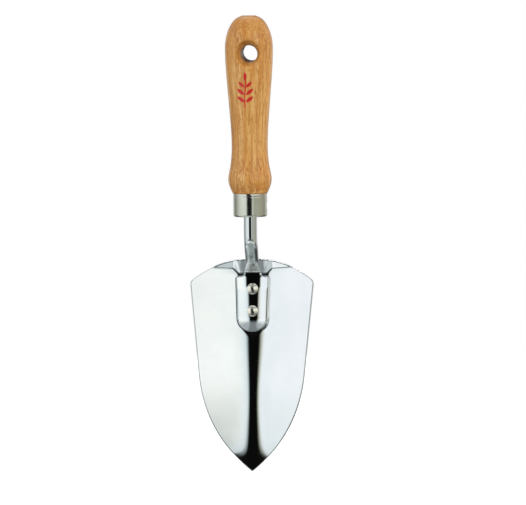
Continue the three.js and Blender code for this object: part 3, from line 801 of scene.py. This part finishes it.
def lacquered_wood():
    made, nodes, shader, place = material("lacquered_wood_look")
    # Broad soft streaks and fine fibres, both drawn out along the handle.
    streak = nodes.noise(nodes.scaled(place, (0.3, 0.3, 0.009), (3, 7, 0)), 1.0, 3, 0.5, 0.1)
    band = nodes.noise(nodes.scaled(place, (0.95, 0.95, 0.013), (11, 2, 0)), 1.0, 3, 0.55, 0.05)
    fibre = nodes.noise(nodes.scaled(place, (2.8, 2.8, 0.045)), 1.0, 3, 0.6)
    tone = nodes.math("ADD", nodes.math("MULTIPLY", streak, 0.46), nodes.math("MULTIPLY", band, 0.3))
    tone = nodes.math("ADD", tone, nodes.math("MULTIPLY", fibre, 0.24))
    colour = nodes.colours(
        tone,
        [
            (0.40, (0.50, 0.185, 0.032)),
            (0.46, (0.61, 0.265, 0.060)),
            (0.51, (0.70, 0.345, 0.092)),
            (0.56, (0.78, 0.430, 0.140)),
            (0.62, (0.84, 0.510, 0.200)),
        ],
    )
    # Here and there the wood is a warmer orange.
    warmth = nodes.noise(nodes.scaled(place, (0.34, 0.34, 0.016), (9, 4, 2)), 1.0, 3, 0.6, 0.4)
    colour = nodes.mix(nodes.ramp(warmth, 0.48, 0.62, 0, 0.62), colour, (0.66, 0.255, 0.038))
    # End grain is deeper in colour, so the dome is too.
    axis = nodes.add("ShaderNodeSeparateXYZ")
    nodes.feed(axis.inputs[0], place)
    up = axis.outputs[2]
    colour = nodes.mix(nodes.ramp(up, -24, -1, 0, 0.7), colour, (0.56, 0.24, 0.047))
    # Short open pores along the grain: fine ones everywhere, and longer red-brown ones in patches.
    # More of them are open on the dome and the bead, where the turning cuts across the grain.
    ends = nodes.math("MAXIMUM", nodes.ramp(up, -42, -22, 0, 0.055), nodes.ramp(up, -106, -90, 0.045, 0))
    fine = nodes.noise(nodes.scaled(place, (1.7, 1.7, 0.34), (5, 0, 9)), 1.0, 1, 0.5)
    fine = nodes.ramp(nodes.math("ADD", fine, ends), 0.59, 0.70)
    long = nodes.noise(nodes.scaled(place, (1.15, 1.15, 0.15), (0, 8, 3)), 1.0, 1, 0.5)
    long = nodes.ramp(nodes.math("ADD", long, ends), 0.62, 0.70)
    patch = nodes.ramp(nodes.noise(nodes.scaled(place, (0.16, 0.16, 0.03)), 1.0, 2), 0.38, 0.6, 0.35, 1.0)
    pore = nodes.math("MAXIMUM", nodes.math("MULTIPLY", fine, 0.75), nodes.math("MULTIPLY", long, patch))
    colour = nodes.mix(nodes.math("MULTIPLY", pore, 0.85), colour, (0.42, 0.115, 0.018))
    # The countersinks show deeper orange end grain; the bore wall is painted darker and greyer as painted shade inside
    # the hole.

    def away_from(across):
        dx = nodes.math("SUBTRACT", axis.outputs[0], across)
        dz = nodes.math("SUBTRACT", axis.outputs[2], HOLE_Z)
        return nodes.math("SQRT", nodes.math("ADD", nodes.math("MULTIPLY", dx, dx), nodes.math("MULTIPLY", dz, dz)))

    sunk = nodes.ramp(away_from(0.3 * HOLE_ACROSS), SINK_RADIUS - 0.5, SINK_RADIUS + 0.1, 0.3, 0)
    colour = nodes.mix(sunk, colour, (0.66, 0.30, 0.07))
    # Painted shade: the bore wall is painted dark grey-brown; the same mask also makes it rougher.
    bore_wall_and_shade = nodes.ramp(away_from(HOLE_ACROSS), HOLE_RADIUS + 0.05, HOLE_RADIUS + 0.35, 0.85, 0)
    colour = nodes.mix(bore_wall_and_shade, colour, (0.27, 0.20, 0.15))
    ink = sprig(nodes, place)
    colour = nodes.mix(nodes.math("MULTIPLY", ink, 0.97), colour, (0.60, 0.004, 0.010))
    nodes.feed(shader.inputs["Base Color"], colour)
    rough = nodes.math("MULTIPLY_ADD", fibre, 0.22, 0.32)
    nodes.feed(shader.inputs["Roughness"], nodes.math("ADD", rough, nodes.math("MULTIPLY", bore_wall_and_shade, 0.3)))
    height = nodes.math("SUBTRACT", nodes.math("MULTIPLY", fibre, 0.5), pore)
    nodes.feed(shader.inputs["Normal"], nodes.bump(height, 0.00007, 0.5))
    shader.inputs["Specular IOR Level"].default_value = 0.3
    shader.inputs["Coat Weight"].default_value = 0.6
    shader.inputs["Coat IOR"].default_value = 1.35
    shader.inputs["Coat Roughness"].default_value = 0.08
    ripple = nodes.noise(nodes.scaled(place, (0.35, 0.35, 0.1)), 1.0, 2)
    filled = nodes.math("SUBTRACT", ripple, nodes.math("MULTIPLY", pore, 0.12))
    nodes.feed(shader.inputs["Coat Normal"], nodes.bump(filled, 0.00012, 0.2))
    return made


def worn_metal(name, colour, tint, rough, rough_spread, bump, brushed):
    """Plated steel: cloudy roughness, fine marks and a faint unevenness."""
    made, nodes, shader, place = material(name)
    shader.inputs["Metallic"].default_value = 1.0
    cloud = nodes.noise(nodes.scaled(place, (0.06, 0.06, 0.05)), 1.0, 4, 0.6)
    fine = nodes.noise(nodes.scaled(place, (1.3, 1.3, 0.9)), 1.0, 3, 0.6)
    smear = nodes.noise(nodes.scaled(place, (0.16, 0.16, 0.45)), 1.0, 5, 0.7, 1.2)
    base = nodes.mix(nodes.ramp(cloud, 0.35, 0.7), colour, tint)
    base = nodes.mix(nodes.ramp(smear, 0.58, 0.8, 0, 0.25), base, tuple(c * 0.8 for c in tint))
    nodes.feed(shader.inputs["Base Color"], base)
    # Hair scratches in two directions.
    marks = None
    for turn, seed in ((0.35, 3.0), (-0.9, 11.0)):
        rotate = nodes.add("ShaderNodeVectorRotate", rotation_type="Y_AXIS")
        nodes.feed(rotate.inputs["Vector"], place)
        rotate.inputs["Angle"].default_value = turn
        line = nodes.noise(nodes.scaled(rotate.outputs[0], (2.6, 2.6, 0.03), (seed, 0, 0)), 1.0, 2, 0.5)
        line = nodes.ramp(line, 0.71, 0.78)
        marks = line if marks is None else nodes.math("MAXIMUM", marks, line)
    roughness = nodes.math("ADD", nodes.math("MULTIPLY_ADD", cloud, rough_spread, rough), nodes.math("MULTIPLY", marks, 0.10))
    roughness = nodes.math("ADD", roughness, nodes.ramp(smear, 0.6, 0.85, 0, rough_spread))
    height = nodes.math("MULTIPLY_ADD", fine, 0.25, nodes.math("MULTIPLY", marks, -0.5))
    if brushed:
        angle = nodes.add("ShaderNodeSeparateXYZ")
        nodes.feed(angle.inputs[0], place)
        turn = nodes.math("ARCTAN2", angle.outputs[1], angle.outputs[0])
        combine = nodes.add("ShaderNodeCombineXYZ")
        nodes.feed(combine.inputs[0], nodes.math("MULTIPLY", turn, 1.6))
        nodes.feed(combine.inputs[2], nodes.math("MULTIPLY", angle.outputs[2], 9.0))
        lines = nodes.noise(combine.outputs[0], 1.0, 4, 0.7)
        height = nodes.math("ADD", height, nodes.math("MULTIPLY", lines, 1.2))
        roughness = nodes.math("ADD", roughness, nodes.math("MULTIPLY", nodes.math("SUBTRACT", lines, 0.5), 0.22))
    nodes.feed(shader.inputs["Roughness"], roughness)
    nodes.feed(shader.inputs["Normal"], nodes.bump(height, bump, 0.6))
    return made


def painted_crank_reflections(made):
    """On the crank, painted reflections: painted near black along both sides, and painted a mottled grey-green on the
    front above the paddle.
    """
    nodes = Nodes(made.node_tree)
    base = made.node_tree.nodes["Principled BSDF"].inputs["Base Color"]
    plated = base.links[0].from_socket
    place = nodes.scaled(nodes.add("ShaderNodeTexCoord").outputs["Object"], (1000, 1000, 1000))
    axis = nodes.add("ShaderNodeSeparateXYZ")
    nodes.feed(axis.inputs[0], place)
    x, y, z = axis.outputs
    across = nodes.math("ABSOLUTE", x)
    cloud = nodes.noise(nodes.scaled(place, (0.55, 0.55, 0.3)), 1.0, 3, 0.6)
    # How deep a point lies behind the crank's sloping front.
    deep = nodes.math("ADD", nodes.math("MULTIPLY_ADD", z, CRANK_SLOPE, -CRANK_SLOPE * FRONT_BEND), SHANK_RADIUS)
    deep = nodes.math("ADD", deep, y)
    # Painted reflection: both sides of the crank are painted near black, standing in for dark reflections.
    painted_dark_flank = nodes.math("MULTIPLY", nodes.ramp(across, 2.1, 2.6), nodes.ramp(across, 3.9, 4.4, 1, 0))
    painted_dark_flank = nodes.math("MULTIPLY", painted_dark_flank, nodes.ramp(deep, 3.6, 5.2, 1, 0))
    painted_dark_flank = nodes.math("MULTIPLY", painted_dark_flank, nodes.ramp(z, -167, -164))
    painted_dark_flank = nodes.math("MULTIPLY", painted_dark_flank, nodes.ramp(z, -157, -153, 0.92, 0))
    painted_dark_flank = nodes.math("MULTIPLY", painted_dark_flank, nodes.ramp(x, -1, 1, 0.7, 1.0))
    colour = nodes.mix(painted_dark_flank, plated, (0.035, 0.038, 0.036))
    # Painted reflection: the crank's front above the paddle is painted a mottled grey-green.
    low = nodes.math("MULTIPLY", nodes.ramp(z, -162, -157, 0.55, 0), nodes.ramp(z, -173.6, -172.6))
    low = nodes.math("MULTIPLY", low, nodes.ramp(across, 1.0, 3.6, 1, 0.35))
    low = nodes.math("MULTIPLY", low, nodes.ramp(deep, 1.5, 3.0, 1, 0))
    low = nodes.math("MULTIPLY", low, nodes.ramp(cloud, 0.35, 0.62, 0.45, 1.25))
    nodes.feed(base, nodes.mix(low, colour, (0.20, 0.21, 0.18)))
    return made


# ------------------------------------------------------------------ build

PLATE = ((0.90, 0.92, 0.93), (0.86, 0.885, 0.90), 0.03, 0.045, 0.000006, False)
chrome = worn_metal("chrome_look", *PLATE)
# The shank's chrome, with painted reflections on the crank.
forged = painted_crank_reflections(worn_metal("forged_chrome_look", *PLATE))
edge = worn_metal("cut_edge_look", (0.20, 0.21, 0.21), (0.13, 0.14, 0.14), 0.28, 0.15, 0.00001, False)
nickel = worn_metal("satin_nickel_look", (0.82, 0.81, 0.71), (0.75, 0.74, 0.64), 0.11, 0.07, 0.00001, True)
rivet_metal = worn_metal("bright_nickel_look", (0.93, 0.89, 0.78), (0.88, 0.83, 0.71), 0.15, 0.06, 0.00001, False)
wood = lacquered_wood()

for made, node, slot, look in (
    (build_handle(), "handle", "lacquered_wood", wood),
    (build_ferrule(), "ferrule", "satin_nickel", nickel),
    (build_shank(), "shank", "chrome_plate", forged),
    (build_blade(), "blade", "chrome_plate", chrome),
    (build_rivet("rivet_upper_domed", 0, 5), "rivet_upper", "bright_nickel", rivet_metal),
    (build_rivet("rivet_lower_domed", -RIVET_SPACING, 9), "rivet_lower", "bright_nickel", rivet_metal),
):
    made.data.materials.clear()
    made.data.materials.append(look)
    if node == "blade":
        made.data.materials.append(edge)
    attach(made, "root")
    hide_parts(node)

# ------------------------------------------------------------------ studio

floor_z = cad_box[0][2] - 0.045
floor_mesh = bpy.data.meshes.new("floor")
side = 1.5
corners = [(-side, -side, floor_z), (side, -side, floor_z), (side, side, floor_z), (-side, side, floor_z)]
floor_mesh.from_pydata(corners, [], [(0, 1, 2, 3)])
floor = bpy.data.objects.new("floor", floor_mesh)
bpy.context.scene.collection.objects.link(floor)
floor_look, nodes, shader, place = material("floor_look")
grain = nodes.noise(nodes.scaled(place, (0.02, 0.02, 0.02)), 1.0, 3)
nodes.feed(shader.inputs["Base Color"], nodes.mix(grain, (0.44, 0.46, 0.47), (0.50, 0.52, 0.53)))
nodes.feed(shader.inputs["Roughness"], 0.8)
# Seen directly the pale floor burns out to white, like the backdrop behind it.
shader.inputs["Emission Color"].default_value = (1, 1, 1, 1)
nodes.feed(shader.inputs["Emission Strength"], nodes.add("ShaderNodeLightPath").outputs["Is Camera Ray"])
floor_mesh.materials.append(floor_look)
floor.visible_glossy = False

CAMERA_AZIMUTH = 4.26  # degrees round from the front

# Brightness and tint of the tent's walls, by degrees round from the dark gap in front of the trowel. The
# upper walls are what the blade mirrors; the lower ones are what the neck and the ferrule mirror.
UPPER_WALLS = [
    (-180, (0.04, 0.04, 0.04)),
    (-171, (0.06, 0.06, 0.06)),
    (-167, (0.34, 0.35, 0.36)),
    (-150, (0.60, 0.62, 0.64)),
    (-135, (0.78, 0.80, 0.82)),
    (-112, (0.24, 0.25, 0.26)),
    (-80, (0.74, 0.76, 0.78)),
    (-45, (0.95, 0.98, 1.00)),
    (-28.5, (0.98, 1.00, 1.02)),
    (-25.5, (0.95, 0.98, 1.01)),
    (-23, (0.95, 0.98, 1.01)),
    (-19, (0.96, 1.00, 1.02)),
    (-16, (0.60, 0.62, 0.52)),
    (-14.5, (0.36, 0.37, 0.29)),
    (-12.2, (0.0025, 0.0025, 0.002)),
    (11.5, (0.002, 0.0025, 0.0025)),
    (13.5, (0.30, 0.34, 0.35)),
    (17, (0.74, 0.84, 0.86)),
    (23, (0.91, 0.97, 0.97)),
    (27, (1.00, 1.03, 0.99)),
    (30, (1.03, 1.06, 1.02)),
    (33, (1.05, 1.07, 1.04)),
    (35, (0.95, 0.97, 0.94)),
    (60, (0.90, 0.92, 0.90)),
    (85, (0.60, 0.61, 0.60)),
    (112, (0.24, 0.25, 0.25)),
    (135, (0.78, 0.79, 0.78)),
    (150, (0.60, 0.61, 0.60)),
    (167, (0.34, 0.34, 0.33)),
    (171, (0.06, 0.06, 0.06)),
    (180, (0.04, 0.04, 0.04)),
]
LOWER_WALLS = [
    (-180, (0.04, 0.04, 0.04)),
    (-171, (0.06, 0.06, 0.06)),
    (-167, (0.66, 0.68, 0.70)),
    (-140, (0.56, 0.58, 0.58)),
    (-118, (0.22, 0.23, 0.22)),
    (-100, (0.34, 0.36, 0.35)),
    (-68, (0.70, 0.74, 0.74)),
    (-42, (0.80, 0.87, 0.86)),
    (-22, (0.74, 0.82, 0.83)),
    (-19, (0.64, 0.68, 0.66)),
    (-15.5, (0.006, 0.006, 0.005)),
    (16, (0.006, 0.006, 0.005)),
    (18.5, (0.62, 0.66, 0.66)),
    (23, (0.66, 0.70, 0.70)),
    (30, (0.36, 0.39, 0.34)),
    (40, (0.38, 0.41, 0.35)),
    (62, (0.40, 0.42, 0.35)),
    (84, (0.39, 0.39, 0.32)),
    (108, (0.34, 0.33, 0.29)),
    (120, (0.30, 0.30, 0.27)),
    (140, (0.56, 0.57, 0.55)),
    (167, (0.66, 0.66, 0.64)),
    (171, (0.06, 0.06, 0.06)),
    (180, (0.04, 0.04, 0.04)),
]
# Low round the trowel the pale floor runs out to darker surroundings.
FLOOR_ROUND = [
    (-180, (0.16, 0.17, 0.17)),
    (-164, (0.50, 0.52, 0.53)),
    (-142, (0.98, 1.00, 1.02)),
    (-120, (0.20, 0.21, 0.22)),
    (-100, (0.12, 0.13, 0.13)),
    (-84, (0.50, 0.53, 0.55)),
    (-60, (0.56, 0.60, 0.60)),
    (-40, (0.90, 0.93, 0.93)),
    (-26, (1.10, 1.12, 1.12)),
    (-17, (0.60, 0.66, 0.67)),
    (8, (0.54, 0.61, 0.62)),
    (34, (0.62, 0.67, 0.67)),
    (60, (0.56, 0.60, 0.58)),
    (82, (0.50, 0.52, 0.50)),
    (100, (0.10, 0.10, 0.10)),
    (120, (0.20, 0.20, 0.20)),
    (142, (0.98, 0.98, 0.98)),
    (164, (0.50, 0.51, 0.51)),
    (180, (0.16, 0.17, 0.17)),
]
CEILING = (0.40, 0.44, 0.45)
TOP_LIGHT = (0.75, 0.76, 0.78)
FLOOR_BELOW = (0.29, 0.33, 0.31)


def light_tent():
    """A white tent: walls with a dark gap in front and behind, a grey ceiling and a light overhead."""
    world = bpy.data.worlds.new("light_tent")
    bpy.context.scene.world = world
    world.use_nodes = True
    sky = Nodes(world.node_tree)
    background = world.node_tree.nodes["Background"]
    parts = sky.add("ShaderNodeSeparateXYZ")
    sky.feed(parts.inputs[0], sky.add("ShaderNodeTexCoord").outputs["Generated"])
    dx, dy, dz = parts.outputs
    degrees = 180 / math.pi
    around = sky.math("MULTIPLY", sky.math("ARCTAN2", dx, sky.math("MULTIPLY", dy, -1)), degrees)
    height = sky.math("MULTIPLY", sky.math("ARCSINE", dz), degrees)
    # The gap leans: its upper part is farther round to the left.
    leaning = sky.math("MINIMUM", sky.math("MAXIMUM", dz, -0.15), 0.3)
    gap = sky.math("MULTIPLY_ADD", leaning, -20.0, -2.0)
    off = sky.math("WRAP", sky.math("SUBTRACT", around, gap), 180.0, -180.0)
    share = sky.math("MULTIPLY_ADD", off, 1 / 360, 0.5)
    upper, lower, round_below = (
        sky.colours(share, [((angle + 180) / 360, colour) for angle, colour in walls])
        for walls in (UPPER_WALLS, LOWER_WALLS, FLOOR_ROUND)
    )
    climb = sky.math("MULTIPLY_ADD", height, 1 / 20.5, 6 / 20.5, clamp=True)
    light = sky.mix(sky.math("POWER", climb, 2.2), lower, upper)
    light = sky.mix(sky.ramp(height, 28, 42), light, CEILING)
    light = sky.mix(sky.ramp(height, 52, 62), light, TOP_LIGHT)
    # Low down the gap is not so dark.
    foot = sky.math("MULTIPLY", sky.ramp(height, -14, -6.5, 0.9, 0), sky.ramp(sky.math("ABSOLUTE", off), 12, 22, 1, 0))
    light = sky.mix(foot, light, (0.09, 0.10, 0.10))
    # The gap runs on, less dark, up through the ceiling.
    slot = sky.ramp(sky.math("ABSOLUTE", off), 8, 17, 0.5, 0)
    slot = sky.math("MULTIPLY", slot, sky.math("MULTIPLY", sky.ramp(height, 26, 34), sky.ramp(height, 58, 66, 1, 0)))
    light = sky.mix(slot, light, (0.01, 0.01, 0.01))
    # Beside the gap a dark seam shows where the walls meet the floor.
    seam = sky.math("MULTIPLY", sky.ramp(height, -46, -36, 0, 0.72), sky.ramp(height, -16, -9, 1, 0))
    beside = sky.math("ABSOLUTE", off)
    seam = sky.math("MULTIPLY", seam, sky.math("MULTIPLY", sky.ramp(beside, 42, 54, 1, 0), sky.ramp(beside, 12, 24)))
    light = sky.mix(seam, light, (0.02, 0.02, 0.02))
    light = sky.mix(sky.ramp(height, -46, -28, 1, 0), light, round_below)
    # Behind, a dark kerb runs along the foot of the walls.
    kerb = sky.math("MULTIPLY", sky.ramp(height, -60, -50, 0, 0.93), sky.ramp(height, -20, -13, 1, 0))
    kerb = sky.math("MULTIPLY", kerb, sky.ramp(beside, 96, 112))
    light = sky.mix(sky.math("MULTIPLY", kerb, sky.ramp(beside, 150, 162, 1, 0)), light, (0.02, 0.02, 0.02))
    light = sky.mix(sky.ramp(height, -70, -60, 1, 0), light, FLOOR_BELOW)
    rays = sky.add("ShaderNodeLightPath").outputs
    seen = sky.mix(rays["Is Camera Ray"], light, (1, 1, 1))
    sky.feed(background.inputs[0], seen)
    # Matt surfaces get more light than mirrors show, and most of it from the right.
    sided = sky.math("MULTIPLY_ADD", dx, 0.7, 2.15)
    sided = sky.math("MULTIPLY_ADD", sky.math("MAXIMUM", dz, 0.0), -2.0, sided)
    sided = sky.math("MULTIPLY_ADD", sky.math("MAXIMUM", dy, 0.0), -1.1, sided)
    fill = sky.math("MULTIPLY_ADD", rays["Is Diffuse Ray"], sided, 1.0)
    sky.feed(background.inputs[1], fill)


light_tent()

# A small lamp above and behind draws the bright line round the butt.
lamp = bpy.data.lights.new("top_lamp", "AREA")
lamp.shape = "RECTANGLE"
lamp.size, lamp.size_y = 0.5, 0.05
lamp.energy = 0.6
lamp_object = bpy.data.objects.new("top_lamp", lamp)
bpy.context.scene.collection.objects.link(lamp_object)
lamp_at = Vector((0, 0.30, 0.50))
lamp_object.matrix_world = Matrix.Translation(lamp_at) @ lamp_at.to_track_quat("Z", "Y").to_matrix().to_4x4()

camera = bpy.data.cameras.new("camera")
camera.lens = 307
camera.sensor_width = 36
camera.clip_end = 50
camera_object = bpy.data.objects.new("camera", camera)
bpy.context.scene.collection.objects.link(camera_object)
azimuth, elevation, roll = math.radians(CAMERA_AZIMUTH), math.radians(3.38), math.radians(0.48)
distance = 3.0
back = Vector(
    (math.sin(azimuth) * math.cos(elevation), -math.cos(azimuth) * math.cos(elevation), math.sin(elevation))
)
turn = back.to_track_quat("Z", "Y").to_matrix() @ Matrix.Rotation(-roll, 3, "Z")
middle = (cad_box[0] + cad_box[1]) / 2
target = Vector((0, 0, middle[2])) + turn @ Vector((8.35 * MM, -5.84 * MM, 0))
camera_object.matrix_world = Matrix.Translation(target + back * distance) @ turn.to_4x4()
bpy.context.scene.camera = camera_object
bpy.context.scene.view_settings.view_transform = "Standard"

bpy.context.view_layer.update()
